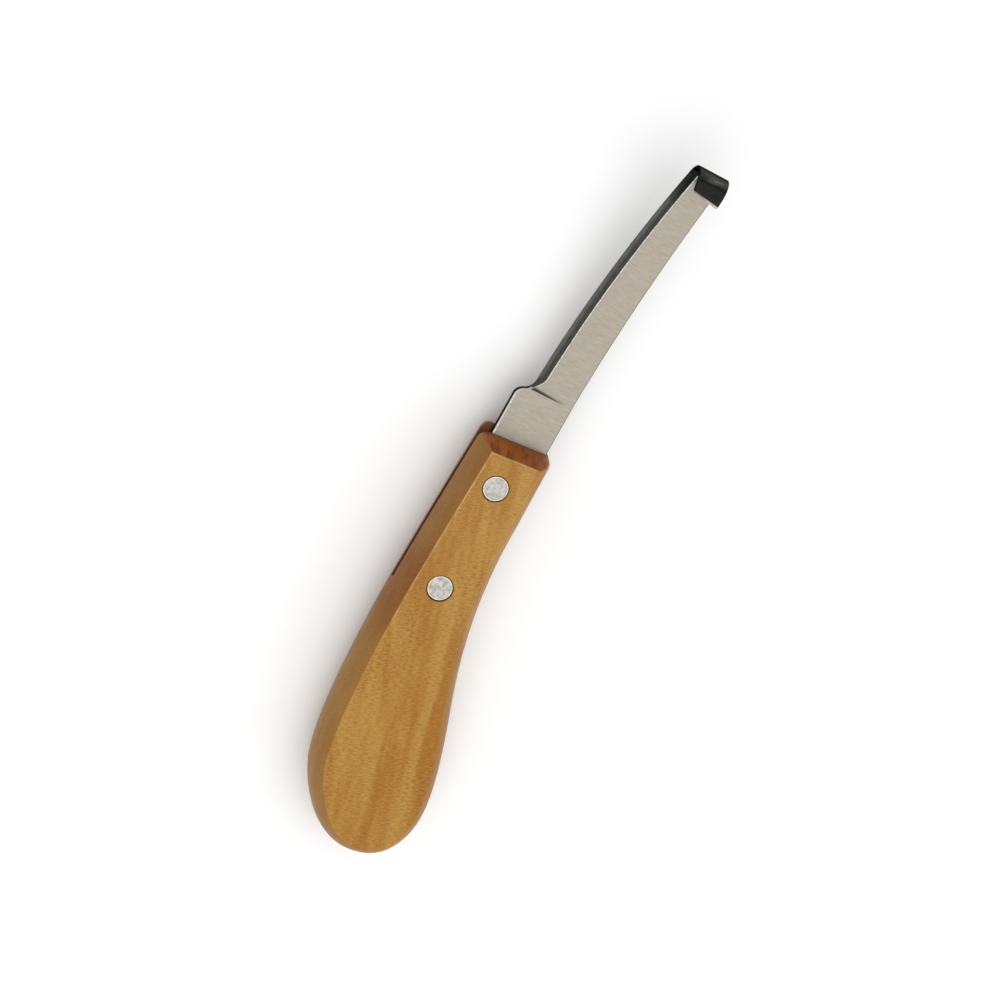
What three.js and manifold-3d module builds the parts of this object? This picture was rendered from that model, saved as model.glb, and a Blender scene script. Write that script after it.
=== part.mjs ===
// A left-hand farrier's hoof knife: a slotted wooden handle, a steel blade whose tang lies in the slot,
// and two two-part rivets. Millimetres, +Z up.
//
// The knife lies on the far flat face of its handle, which is the plane z = 0. The origin is on that
// face, midway between the rivets. +X runs along the line of the rivets towards the hook, and +Y to the
// side of the cutting edge. The hook rolls up, towards +Z.

import * as THREE from 'three';
import * as BufferGeometryUtils from 'three/addons/utils/BufferGeometryUtils.js';
import Module from 'manifold-3d';

const wasm = await Module();
wasm.setup();

// Handle
const HANDLE_THICKNESS = 20;
const SIDE_INSET = 3.8; // how far each flat face stands in from the widest outline
const END_INSET = 3.2; // the same, at the blade end
const CORNER_RADIUS = 3; // corners of the widest outline at the blade end
const FACE_CORNER_RADIUS = 0.4;
const HANDLE_CENTRE_Y = -1.4;
const MOUTH_X = 29.3; // the blade end of the upper cheek, on the handle's centre line
const MOUTH_SKEW = THREE.MathUtils.degToRad(4);
const LOWER_MOUTH_X = 30.6; // the lower cheek reaches a little further, mostly on the cutting-edge side
const LOWER_MOUTH_SKEW = THREE.MathUtils.degToRad(-3);
const CORNER_ROOM = 5; // the side lines stop this far short of the blade end
const OUTLINE_STATIONS = 76;
const CORNER_STEPS = 4;
const CHEEK_STEPS = 5;

// Slot for the tang
const SLOT_THICKNESS = 2.2;
const SLOT_END_X = -21.5;

// Rivets
const RIVET_SPACING = 33;
const HEAD_DIAMETER = 7.4;
const HEAD_THICKNESS = 1.2;
const HEAD_DEPTH = 0.3; // how far the heads lie below the flat faces
const HEAD_EDGE = 0.25;
const COUNTERBORE_DIAMETER = 7.9;
const SEAT_GAP = 0.05;
const HOLE_DIAMETER = 4.8;
const TUBE_DIAMETER = 4.6;
const TUBE_BORE = 3.2;
const TUBE_LENGTH = 14.5; // from the socket head's top to the mouth
const PIN_DIAMETER = 3;
const PIN_LENGTH = 14;
const ROUND_SEGMENTS = 32;

// Blade
const STOCK = 2;
const TANG_END_X = -20.8;
const TANG_END_RADIUS = 4;
const TANG_EDGE_Y = 6.65;
const TANG_SPINE_Y = -10.6;
const TANG_TAPER = 1.6; // each side of the tang draws in this much at its inner end
const SHOULDER_X = 41.6; // where the shoulder's outer curve begins
const SHOULDER_ANGLE = THREE.MathUtils.degToRad(70);
const SHOULDER_OUTER_RADIUS = 2.9;
const SHOULDER_INNER_RADIUS = 3.78;
const SHOULDER_DROP = 4.4;
const PLUNGE_X = 44.9;
const PLUNGE_LENGTH = 0.6;
const GRIND_DEPTH = 0.5; // how far the plunge line steps down, beside the cutting edge
const BEVEL_RUN = 5.1; // the bevel starts at the plunge line and reaches its full width over this length
const BEVEL_WIDTH = 2.1;
const EDGE_THICKNESS = 0.35;
const TIP_THICKNESS = 1.5;
const EDGE_LEAN = 2.5; // how far both sides of the blade run towards -Y by the hook, straight and curved
const EDGE_CURVE = 3.9;
const SPINE_LEAN = 1.65;
const SPINE_CURVE = 1.7;

// Bow and hook
const BOW_START_X = 35;
const BOW_LENGTH = 85.2;
const BOW_RADIUS = 400;
const HOOK_INNER_RADIUS = 3;
const LIP_LENGTH = 3.1;
const LIP_SKEW = 1.6; // how much shorter the lip is on the side of the cutting edge
const LIP_BEVEL = 1;
const LIP_EDGE_THICKNESS = 0.6;
const HOOK_DRIFT = 0.1; // how fast the hook narrows, on the side of the cutting edge

const HALF = HANDLE_THICKNESS / 2;
const SHOULDER_SINE = Math.sin(SHOULDER_ANGLE);
const SHOULDER_RISE = 1 - Math.cos(SHOULDER_ANGLE);
const SHOULDER_ARCS = SHOULDER_OUTER_RADIUS + SHOULDER_INNER_RADIUS;
const SHOULDER_LENGTH =
  SHOULDER_ARCS * SHOULDER_SINE + (SHOULDER_DROP - SHOULDER_ARCS * SHOULDER_RISE) / Math.tan(SHOULDER_ANGLE);
const HOOK_START = BOW_START_X + BOW_LENGTH;
const HOOK_RADIUS = HOOK_INNER_RADIUS + TIP_THICKNESS / 2;
const HOOK_LENGTH = Math.PI * HOOK_RADIUS;
const BLADE_END = HOOK_START + HOOK_LENGTH + LIP_LENGTH;

// Materials

function beech() {
  return new THREE.MeshStandardMaterial({ color: 0xaf8246, roughness: 0.45, metalness: 0 });
}

function steel() {
  return new THREE.MeshStandardMaterial({ color: 0xb4ada0, roughness: 0.35, metalness: 1 });
}

function aluminium() {
  return new THREE.MeshStandardMaterial({ color: 0xcdc8c2, roughness: 0.4, metalness: 1 });
}

// Solids

// A closed skin over a row of rings that all have the same number of points. Each ring runs
// anticlockwise seen from the last ring's side, and caps holds the triangles that close one ring.
function loft(rings, caps) {
  const count = rings[0].length;
  const index = [];
  for (let r = 0; r < rings.length - 1; r++) {
    for (let i = 0; i < count; i++) {
      const j = (i + 1) % count;
      const low = r * count;
      const high = low + count;
      index.push(low + i, low + j, high + j);
      index.push(low + i, high + j, high + i);
    }
  }
  const last = (rings.length - 1) * count;
  for (const [a, b, c] of caps) {
    index.push(c, b, a);
    index.push(last + a, last + b, last + c);
  }
  const geometry = new THREE.BufferGeometry().setFromPoints(rings.flat());
  geometry.setIndex(index);
  return geometry;
}

function toSolid(geometry) {
  const bare = geometry.clone();
  bare.deleteAttribute('normal');
  bare.deleteAttribute('uv');
  const merged = BufferGeometryUtils.mergeVertices(bare);
  const vertProperties = new Float32Array(merged.attributes.position.array);
  const triVerts = new Uint32Array(merged.index.array);
  return new wasm.Manifold(new wasm.Mesh({ numProp: 3, vertProperties, triVerts }));
}

function toGeometry(solid) {
  const mesh = solid.getMesh();
  const geometry = new THREE.BufferGeometry();
  geometry.setAttribute('position', new THREE.BufferAttribute(mesh.vertProperties, 3));
  geometry.setIndex(new THREE.BufferAttribute(mesh.triVerts, 1));
  return geometry;
}

// A round cutter along Z
function drill(diameter, x, lowZ, highZ) {
  const radius = diameter / 2;
  const geometry = new THREE.CylinderGeometry(radius, radius, highZ - lowZ, ROUND_SEGMENTS);
  geometry.rotateX(Math.PI / 2);
  geometry.translate(x, 0, (lowZ + highZ) / 2);
  return toSolid(geometry);
}

const RIVET_XS = [-RIVET_SPACING / 2, RIVET_SPACING / 2];

// Handle

// The widest outline without its two corners, anticlockwise from the cutting-edge side of the blade
// end: a nearly straight side, a swept butt, and a hollow side back to the blade end.
function sideLine() {
  const line = new THREE.Path();
  line.moveTo(MOUTH_X - CORNER_ROOM, 10.0);
  line.bezierCurveTo(11, 10.6, -17, 11.7, -30, 11.7);
  line.bezierCurveTo(-47.7, 11.7, -73.4, 10.7, -82.8, 6.6);
  line.bezierCurveTo(-93.1, 2.1, -101.7, -6.1, -101.7, -15.1);
  line.bezierCurveTo(-101.7, -28.7, -89.5, -31.3, -83.5, -31.3);
  line.bezierCurveTo(-72.1, -31.3, -55.4, -24.7, -43.7, -20.9);
  line.bezierCurveTo(-27.5, -15.6, -11.9, -13.1, 5, -13.1);
  line.lineTo(MOUTH_X - CORNER_ROOM, -12.9);
  return line;
}

function leftOf(direction) {
  return new THREE.Vector2(-direction.y, direction.x);
}

// The point that lies the same distance inside two lines, each a point with its inward normal
function pointInside(first, second, distance) {
  const a = first.normal;
  const b = second.normal;
  const p = a.dot(first.point) + distance;
  const q = b.dot(second.point) + distance;
  const scale = 1 / (a.x * b.y - a.y * b.x);
  return new THREE.Vector2((p * b.y - q * a.y) * scale, (q * a.x - p * b.x) * scale);
}

// A rounded corner between two lines
function corner(first, second, radius) {
  const centre = pointInside(first, second, radius);
  const from = Math.atan2(-first.normal.y, -first.normal.x);
  const turn = Math.acos(first.normal.dot(second.normal));
  const points = [];
  for (let i = 0; i <= CORNER_STEPS; i++) {
    const angle = from + (turn * i) / CORNER_STEPS;
    points.push(new THREE.Vector2(Math.cos(angle), Math.sin(angle)).multiplyScalar(radius).add(centre));
  }
  return points;
}

// A point of a line with its inward normal, both moved inwards
function movedIn(point, normal, inset) {
  return { point: normal.clone().multiplyScalar(inset).add(point), normal };
}

// The blade end of one cheek at its widest, as a point of the end line and the line's inward normal
function cheekEnd(side) {
  const x = side < 0 ? LOWER_MOUTH_X : MOUTH_X;
  const skew = side < 0 ? LOWER_MOUTH_SKEW : MOUTH_SKEW;
  return {
    point: new THREE.Vector2(x, HANDLE_CENTRE_Y),
    normal: new THREE.Vector2(-Math.cos(skew), -Math.sin(skew)),
  };
}

// The outline at one height, moved in by inset. side is -1 for the lower cheek and 1 for the upper one.
function handleOutline(side, inset) {
  const line = sideLine();
  const sides = [];
  for (let i = 0; i <= OUTLINE_STATIONS; i++) {
    const normal = leftOf(line.getTangentAt(i / OUTLINE_STATIONS));
    sides.push(movedIn(line.getPointAt(i / OUTLINE_STATIONS), normal, inset));
  }
  const widest = cheekEnd(side);
  const end = movedIn(widest.point, widest.normal, (inset * END_INSET) / SIDE_INSET);
  const radius = Math.max(CORNER_RADIUS - inset, FACE_CORNER_RADIUS);
  return [
    ...sides.map((side) => side.point),
    ...corner(sides[OUTLINE_STATIONS], end, radius),
    ...corner(end, sides[0], radius),
  ];
}

// Each side of the handle is an arc from face to face, and the faces meet it at a crisp edge. Between
// the two cheeks the arc is cut short by a narrow flat, which the saw slot takes away.
function handleBlank() {
  const arcRadius = (HALF * HALF + SIDE_INSET * SIDE_INSET) / (2 * SIDE_INSET);
  const reach = Math.asin(HALF / arcRadius);
  const flat = Math.asin((SLOT_THICKNESS * 0.45) / arcRadius);
  const rings = [];
  for (const side of [-1, 1]) {
    for (let i = 0; i <= CHEEK_STEPS; i++) {
      const fromFlat = side < 0 ? 1 - i / CHEEK_STEPS : i / CHEEK_STEPS;
      const angle = THREE.MathUtils.lerp(flat, reach, fromFlat);
      const inset = arcRadius * (1 - Math.cos(angle));
      const z = HALF + side * arcRadius * Math.sin(angle);
      rings.push(handleOutline(side, inset).map((point) => new THREE.Vector3(point.x, point.y, z)));
    }
  }
  return loft(rings, THREE.ShapeUtils.triangulateShape(handleOutline(1, SIDE_INSET), []));
}

// The saw slot runs in from the blade end, through both sides.
function slotCutter() {
  const reach = 80; // past the blade end and both sides
  const geometry = new THREE.BoxGeometry(reach, reach, SLOT_THICKNESS);
  geometry.translate(SLOT_END_X + reach / 2, 0, HALF);
  return toSolid(geometry);
}

function handle() {
  const seatDepth = HEAD_DEPTH + HEAD_THICKNESS + SEAT_GAP;
  const below = -1;
  const above = HANDLE_THICKNESS + 1;
  let solid = toSolid(handleBlank()).subtract(slotCutter());
  for (const x of RIVET_XS) {
    solid = solid.subtract(drill(HOLE_DIAMETER, x, below, above));
    solid = solid.subtract(drill(COUNTERBORE_DIAMETER, x, below, seatDepth));
    solid = solid.subtract(drill(COUNTERBORE_DIAMETER, x, HANDLE_THICKNESS - seatDepth, above));
  }
  return toGeometry(solid);
}

// Blade

// A point of the blade's middle surface, with the angle that the blade has turned up there. u is the
// length along the blade, counted as x is, and height is measured square to the blade.
function onBlade(u, y, height) {
  const pieces = [
    { end: BOW_START_X, bend: 0 },
    { end: HOOK_START, bend: 1 / BOW_RADIUS },
    { end: HOOK_START + HOOK_LENGTH, bend: 1 / HOOK_RADIUS },
    { end: Infinity, bend: 0 },
  ];
  let x = 0;
  let z = HALF;
  let angle = 0;
  let start = 0;
  for (const { end, bend } of pieces) {
    const length = Math.min(u, end) - start;
    const turned = angle + bend * length;
    if (bend === 0) {
      x += length * Math.cos(angle);
      z += length * Math.sin(angle);
    } else {
      x += (Math.sin(turned) - Math.sin(angle)) / bend;
      z += (Math.cos(angle) - Math.cos(turned)) / bend;
    }
    angle = turned;
    start = end;
    if (u <= end) break;
  }
  return new THREE.Vector3(x - height * Math.sin(angle), y, z + height * Math.cos(angle));
}

// The rounded inner end of the tang draws both sides in.
function tangEndInset(u) {
  const past = Math.max(TANG_END_RADIUS - (u - TANG_END_X), 0);
  return TANG_END_RADIUS - Math.sqrt(TANG_END_RADIUS ** 2 - past ** 2);
}

function tangInset(u) {
  const inside = THREE.MathUtils.clamp((MOUTH_X - u) / (MOUTH_X - TANG_END_X), 0, 1);
  return TANG_TAPER * inside + tangEndInset(u);
}

// How far the shoulder has drawn the blade in: an outer arc, a straight slope, and an inner arc
function shoulderDrop(u) {
  const past = u - SHOULDER_X;
  const short = SHOULDER_X + SHOULDER_LENGTH - u;
  if (past <= 0) return 0;
  if (short <= 0) return SHOULDER_DROP;
  if (past < SHOULDER_OUTER_RADIUS * SHOULDER_SINE) {
    return SHOULDER_OUTER_RADIUS - Math.sqrt(SHOULDER_OUTER_RADIUS ** 2 - past ** 2);
  }
  if (short < SHOULDER_INNER_RADIUS * SHOULDER_SINE) {
    return SHOULDER_DROP - SHOULDER_INNER_RADIUS + Math.sqrt(SHOULDER_INNER_RADIUS ** 2 - short ** 2);
  }
  const slope = past - SHOULDER_OUTER_RADIUS * SHOULDER_SINE;
  return SHOULDER_OUTER_RADIUS * SHOULDER_RISE + slope * Math.tan(SHOULDER_ANGLE);
}

// How far along the blade u lies, from 0 at the shoulder to 1 at the hook
function alongBlade(u) {
  const start = SHOULDER_X + SHOULDER_LENGTH;
  return THREE.MathUtils.clamp((u - start) / (HOOK_START - start), 0, 1);
}

function spineY(u) {
  const along = alongBlade(u);
  return TANG_SPINE_Y + tangInset(u) - SPINE_LEAN * along - SPINE_CURVE * along * along;
}

function edgeY(u) {
  const along = alongBlade(u);
  const hook = HOOK_DRIFT * Math.max(u - HOOK_START, 0);
  const blade = EDGE_LEAN * along + EDGE_CURVE * along * along + hook;
  return TANG_EDGE_Y - tangInset(u) - shoulderDrop(u) - blade;
}

// The bevel's width: its upper edge leaves the outline at the plunge line and curves in.
function bevelWidth(u) {
  const full = PLUNGE_X + BEVEL_RUN;
  if (u <= PLUNGE_X) return 0;
  if (u >= full) return BEVEL_WIDTH;
  const ridge = edgeY(full) - BEVEL_WIDTH;
  const left = (full - u) / BEVEL_RUN;
  return Math.max(edgeY(u) - ridge - (edgeY(PLUNGE_X) - ridge) * left * left, 0);
}

// The section at u, anticlockwise seen from the tip: two points below, the cutting edge, the top of
// its bevel, and the spine.
function bladeSection(u) {
  const thinning = alongBlade(u);
  const half = THREE.MathUtils.lerp(STOCK, TIP_THICKNESS, thinning) / 2;
  const ground = THREE.MathUtils.clamp((u - PLUNGE_X) / PLUNGE_LENGTH, 0, 1);
  const step = THREE.MathUtils.lerp(GRIND_DEPTH, 0, thinning) * ground;
  const fade = 1 - THREE.MathUtils.smoothstep(u, HOOK_START, HOOK_START + HOOK_LENGTH / 2);
  const sharp = (bevelWidth(u) / BEVEL_WIDTH) * fade;
  const top = half - step;
  const edgeTop = THREE.MathUtils.lerp(top, EDGE_THICKNESS - half, sharp);
  const lip = THREE.MathUtils.clamp((u - BLADE_END + LIP_BEVEL) / LIP_BEVEL, 0, 1);
  const bottom = THREE.MathUtils.lerp(-half, half - LIP_EDGE_THICKNESS, lip);
  const spine = spineY(u);
  const edge = edgeY(u);
  return [
    new THREE.Vector2(spine, bottom),
    new THREE.Vector2(edge, bottom),
    new THREE.Vector2(edge, edgeTop),
    new THREE.Vector2(edge - Math.max(BEVEL_WIDTH * sharp, 0.5), top),
    new THREE.Vector2(spine, half),
  ];
}

function stretch(from, to, steps) {
  return Array.from({ length: steps }, (_, i) => from + ((to - from) * i) / steps);
}

function bladeStations() {
  const cornerEnd = TANG_END_X + TANG_END_RADIUS;
  return [
    ...stretch(TANG_END_X, cornerEnd, 6),
    cornerEnd,
    MOUTH_X,
    ...stretch(SHOULDER_X, PLUNGE_X, 7),
    PLUNGE_X,
    ...stretch(PLUNGE_X + PLUNGE_LENGTH, PLUNGE_X + BEVEL_RUN, 8),
    ...stretch(PLUNGE_X + BEVEL_RUN, HOOK_START, 12),
    ...stretch(HOOK_START, HOOK_START + HOOK_LENGTH, 14),
    HOOK_START + HOOK_LENGTH,
    BLADE_END - LIP_BEVEL,
    BLADE_END,
  ];
}

// The lip's end is cut askew, so the blade's last rings lean back on the side of the cutting edge.
function bladeRing(u) {
  const onLip = THREE.MathUtils.clamp((u - HOOK_START - HOOK_LENGTH) / LIP_LENGTH, 0, 1);
  const spine = spineY(u);
  const width = edgeY(u) - spine;
  return bladeSection(u).map((point) => {
    const skew = (LIP_SKEW * onLip * (point.x - spine)) / width;
    return onBlade(u - skew, point.x, point.y);
  });
}

function blade() {
  const rings = bladeStations().map(bladeRing);
  let solid = toSolid(loft(rings, [[0, 1, 2], [0, 2, 3], [0, 3, 4]]));
  for (const x of RIVET_XS) {
    solid = solid.subtract(drill(HOLE_DIAMETER, x, 0, HANDLE_THICKNESS));
  }
  return toGeometry(solid);
}

// Rivets

function turned(profile) {
  const geometry = new THREE.LatheGeometry(
    profile.map(([radius, height]) => new THREE.Vector2(radius, height)),
    ROUND_SEGMENTS,
  );
  geometry.rotateX(Math.PI / 2);
  return geometry;
}

// Both rivet pieces are drawn head down: the head's outer face lies at height 0 and the shank rises.
function rivetSocket() {
  const tubeTop = HEAD_THICKNESS + TUBE_LENGTH;
  return turned([
    [0, 0],
    [HEAD_DIAMETER / 2 - HEAD_EDGE, 0],
    [HEAD_DIAMETER / 2, HEAD_EDGE],
    [HEAD_DIAMETER / 2, HEAD_THICKNESS],
    [TUBE_DIAMETER / 2, HEAD_THICKNESS],
    [TUBE_DIAMETER / 2, tubeTop],
    [TUBE_BORE / 2, tubeTop],
    [TUBE_BORE / 2, HEAD_THICKNESS],
    [0, HEAD_THICKNESS],
  ]);
}

function rivetStud() {
  const pinTop = HEAD_THICKNESS + PIN_LENGTH;
  return turned([
    [0, 0],
    [HEAD_DIAMETER / 2 - HEAD_EDGE, 0],
    [HEAD_DIAMETER / 2, HEAD_EDGE],
    [HEAD_DIAMETER / 2, HEAD_THICKNESS],
    [PIN_DIAMETER / 2, HEAD_THICKNESS],
    [PIN_DIAMETER / 2, pinTop - HEAD_EDGE],
    [PIN_DIAMETER / 2 - HEAD_EDGE, pinTop],
    [0, pinTop],
  ]);
}

// Assembly

function part(name, geometry, material) {
  const mesh = new THREE.Mesh(geometry, material);
  mesh.name = name;
  return mesh;
}

function rivet(name, x) {
  const group = new THREE.Group();
  const socket = part(`${name}_socket`, rivetSocket(), aluminium());
  socket.position.z = HEAD_DEPTH;
  const stud = part(`${name}_stud`, rivetStud(), aluminium());
  stud.position.z = HANDLE_THICKNESS - HEAD_DEPTH;
  stud.rotation.x = Math.PI;
  group.add(socket, stud);
  group.position.x = x;
  return group;
}

function hoofKnife() {
  const knife = new THREE.Group();
  knife.add(part('handle', handle(), beech()));
  knife.add(part('blade', blade(), steel()));
  knife.add(rivet('rear_rivet', RIVET_XS[0]));
  knife.add(rivet('front_rivet', RIVET_XS[1]));
  return knife;
}

export default hoofKnife();
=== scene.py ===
"""A left-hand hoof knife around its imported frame: a slotted beech handle, a bowed and hooked steel blade,
and two two-part rivets. Sizes are in metres, and the frame gives the places.

The knife lies on the handle's lower flat face, z = 0. The origin is midway between the rivets, +X runs
towards the hook and +Y towards the cutting edge."""

import math

import bmesh
import bpy
from bpy.props import FloatProperty, FloatVectorProperty, IntProperty, PointerProperty
from mathutils import Matrix, Vector


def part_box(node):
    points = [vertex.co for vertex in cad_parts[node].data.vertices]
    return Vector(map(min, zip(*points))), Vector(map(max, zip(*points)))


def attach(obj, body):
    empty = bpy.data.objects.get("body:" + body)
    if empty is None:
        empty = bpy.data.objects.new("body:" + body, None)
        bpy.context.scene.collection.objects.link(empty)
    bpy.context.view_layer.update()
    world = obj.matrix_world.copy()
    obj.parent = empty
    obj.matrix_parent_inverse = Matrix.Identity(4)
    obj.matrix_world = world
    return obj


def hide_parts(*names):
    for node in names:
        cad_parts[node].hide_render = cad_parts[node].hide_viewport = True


bl_info = {
    "name": "Hoof Knife",
    "version": (1, 0, 0),
    "blender": (4, 5, 0),
    "location": "View3D > Sidebar > Hoof Knife",
    "description": "Builds a farrier's hoof knife from its handle, blade and rivets",
    "category": "Add Mesh",
}

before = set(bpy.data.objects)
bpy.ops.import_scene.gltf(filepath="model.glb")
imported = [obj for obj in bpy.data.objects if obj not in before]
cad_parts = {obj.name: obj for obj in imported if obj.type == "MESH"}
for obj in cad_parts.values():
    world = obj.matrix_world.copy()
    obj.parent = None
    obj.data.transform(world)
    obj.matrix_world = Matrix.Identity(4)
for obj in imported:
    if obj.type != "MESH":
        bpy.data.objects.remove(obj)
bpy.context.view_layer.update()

MM = 0.001
BODY = "root"
WOOD_SLOT = "handle_wood"
STEEL_SLOT = "blade_steel"
RIVET_SLOT = "rivet_metal"


def size_of(node):
    low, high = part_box(node)
    return high - low


def middle_of(node):
    low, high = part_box(node)
    return (low + high) / 2


HANDLE_THICKNESS = size_of("handle").z
HALF = HANDLE_THICKNESS / 2
REAR_X = middle_of("rear_rivet_stud").x
FRONT_X = middle_of("front_rivet_stud").x
HEAD_RADIUS = size_of("front_rivet_stud").x / 2
HEAD_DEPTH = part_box("front_rivet_socket")[0].z
TANG_END_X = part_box("blade")[0].x
TANG_EDGE_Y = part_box("blade")[1].y


# ---------- Settings ----------

def length(name, description, millimetres, low=0.0, high=1.0):
    return FloatProperty(
        name=name, description=description, default=millimetres * MM, min=low, max=high,
        subtype="DISTANCE", unit="LENGTH",
    )


def angle(name, description, degrees):
    return FloatProperty(
        name=name, description=description, default=math.radians(degrees), subtype="ANGLE", unit="ROTATION"
    )


def colour(name, description, default):
    return FloatVectorProperty(
        name=name, description=description, default=default, min=0.0, max=1.0, size=3, subtype="COLOR"
    )


class KnifeHandleSettings(bpy.types.PropertyGroup):
    side_inset: length("Side inset", "How far each flat face stands in from the widest outline", 3.8)
    end_inset: length("End inset", "The same at the blade end", 3.2)
    corner_radius: length("Corner radius", "Corners of the widest outline at the blade end", 3)
    face_corner: length("Face corner radius", "Corners of the flat faces at the blade end", 0.5)
    face_edge: length("Face edge", "Width of the softened edge round each flat face", 0.6)
    slot_thickness: length("Slot thickness", "Height of the saw slot that takes the tang", 2.2)
    slot_end: length("Slot end", "Where the saw slot stops", -21.5, low=-0.1)
    hole_radius: length("Hole radius", "Holes through the handle for the rivets", 2.4)
    seat_radius: length("Seat radius", "Counterbores that take the rivet heads", 3.86)
    seat_depth: length("Seat depth", "Depth of the counterbores", 1.55)
    seat_edge: length("Seat edge", "Width of the broken edge round the counterbores", 0.18)
    grain_turn: angle("Grain turn", "How far the grain is turned from the blade's line", 17)
    light_wood: colour("Light wood", "Pale bands of the beech", (0.388, 0.202, 0.033))
    dark_wood: colour("Dark wood", "Orange bands of the beech", (0.300, 0.121, 0.005))
    fleck_wood: colour("Flecks", "Short flecks across the grain", (0.215, 0.079, 0.004))
    # The side colours are partly the beech's own tone and partly painted shade on the rounded sides
    side_wood: colour("Side wood", "Beech on the rounded sides", (0.247, 0.119, 0.024))
    brown_side: colour("Browner side", "The same from the rear rivet to the blade", (0.160, 0.038, 0.003))
    # This pale colour is wear towards the blade, and also a painted highlight along the softened edges
    worn_and_highlight_wood: colour("Worn wood", "Beech worn pale by the blade and along edges", (0.58, 0.37, 0.16))
    # The end grain colour is partly the beech's own and partly painted shade on the end bevel
    end_wood: colour("End grain", "Beech where the grain is cut across", (0.285, 0.066, 0.004))
    # The slot colour is painted shade inside the slot and the holes
    slot_shade_wood: colour("Sawn wood", "Beech inside the slot and the holes", (0.13, 0.048, 0.018))


class KnifeBladeSettings(bpy.types.PropertyGroup):
    stock: length("Stock", "Thickness of the tang", 2)
    tip_thickness: length("Tip thickness", "Thickness at the hook", 1.5)
    grind_depth: length("Grind depth", "Step from the tang down to the ground face", 0.5)
    bevel_width: length("Bevel width", "Width of the bevel along the cutting edge", 2.1)
    edge_thickness: length("Edge thickness", "What the bevel leaves at the cutting edge", 0.3)
    bow_radius: length("Bow radius", "Radius of the long bow of the blade", 400, high=2.0)
    hook_inner_radius: length("Hook radius", "Inner radius of the hook", 3)
    hook_angle: angle("Hook angle", "How far the tip is rolled over", 180)
    lip_length: length("Lip length", "Straight lip at the end of the hook", 3.1)
    ground_steel: colour("Ground steel", "Brushed faces of the blade", (0.352, 0.318, 0.262))
    # Polished, hook and rolled steel are darkened below the steel's own colour as painted dark reflections;
    # the hook colour also paints the shade down the step from the tang and under the roll
    polished_steel: colour("Polished steel", "Bevel and narrow sides", (0.089, 0.088, 0.081))
    hook_steel: colour("Hook steel", "The rolled hook and the unground sides", (0.019, 0.019, 0.0165))
    rolled_steel: colour("Rolled steel", "Outside of the roll, less dark than the lip", (0.066, 0.065, 0.058))
    # Bright steel is a painted highlight on the broken edges
    bright_steel: colour("Bright steel", "Broken edges rubbed bright", (0.62, 0.6, 0.56))


class KnifeRivetSettings(bpy.types.PropertyGroup):
    head_thickness: length("Head thickness", "Thickness of the rivet heads", 1.2)
    rim_width: length("Rim width", "Raised rim round each head", 0.36)
    dish_depth: length("Dish depth", "How far the middle of a head lies below its rim", 0.22)
    edge_round: length("Edge round", "Softened outer edge of the heads", 0.2)
    pin_radius: length("Pin radius", "Solid shank of the stud", 1.5)
    tube_radius: length("Tube radius", "Outside of the socket's tube", 2.3)
    tube_bore: length("Tube bore", "Inside radius of the socket's tube", 1.6)
    segments: IntProperty(name="Segments", description="Round each rivet", default=96, min=12, max=256)
    metal: colour("Rivet metal", "Satin aluminium", (0.45, 0.43, 0.40))
    # The rim is given a lighter colour than the head
    rim_metal: colour("Rivet rim", "Raised rim, rubbed bright", (0.60, 0.57, 0.50))


class KnifeStageSettings(bpy.types.PropertyGroup):
    camera_azimuth: angle("Camera azimuth", "0 looks along +Y and 90 along -X", 142.63)
    camera_elevation: angle("Camera elevation", "Height of the camera above the horizon", 69.75)
    camera_roll: angle("Camera roll", "How far the knife's length leans from upright", 29.35)
    camera_distance: length("Camera distance", "From the camera to the point it looks at", 800, high=10.0)
    camera_aim: FloatVectorProperty(
        name="Camera aim", description="The point that the camera looks at", default=(0.013, -0.0043, 0.0147),
        size=3, subtype="TRANSLATION", unit="LENGTH",
    )
    lens: FloatProperty(
        name="Lens", description="Focal length in millimetres on a 36 mm sensor", default=101.56, min=10.0
    )
    floor: colour("Floor", "Plain pale floor", (0.9, 0.9, 0.9))


def settings(group):
    return getattr(bpy.context.scene, group)


# ---------- Meshes ----------

SMOOTH_ANGLE = math.radians(34)


def new_object(name, mesh):
    made = bpy.data.objects.new(name, mesh)
    bpy.context.scene.collection.objects.link(made)
    return made


def from_bmesh(name, bm):
    mesh = bpy.data.meshes.new(name)
    bm.to_mesh(mesh)
    bm.free()
    return new_object(name, mesh)


def loft(rings):
    """A closed bmesh over rings that all have the same number of points, capped at both ends. Each ring
    runs anticlockwise seen from the last ring's side."""
    bm = bmesh.new()
    rows = [[bm.verts.new(point) for point in ring] for ring in rings]
    count = len(rows[0])
    for low, high in zip(rows, rows[1:]):
        for i in range(count):
            j = (i + 1) % count
            bm.faces.new((low[i], low[j], high[j], high[i]))
    bm.faces.new(list(reversed(rows[0])))
    bm.faces.new(rows[-1])
    return bm


def shade(mesh):
    """Smooth shading, with sharp edges where the surface turns and all round a level face."""
    bm = bmesh.new()
    bm.from_mesh(mesh)
    for face in bm.faces:
        face.smooth = True
    for edge in bm.edges:
        level = any(abs(face.normal.z) > 0.9999 for face in edge.link_faces)
        edge.smooth = edge.calc_face_angle(0.0) < SMOOTH_ANGLE and not level
    bm.to_mesh(mesh)
    bm.free()


def finished(name, source):
    """The evaluated mesh of an object, as a plain object of its own; the source is removed."""
    depsgraph = bpy.context.evaluated_depsgraph_get()
    mesh = bpy.data.meshes.new_from_object(source.evaluated_get(depsgraph))
    bpy.data.objects.remove(source)
    if not mesh.polygons:
        raise RuntimeError(f"{name} came out without a face")
    mesh.name = name
    return new_object(name, mesh)


def declare(piece, slot, *nodes):
    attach(piece, BODY)
    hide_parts(*nodes)


# ---------- Node trees ----------

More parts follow.
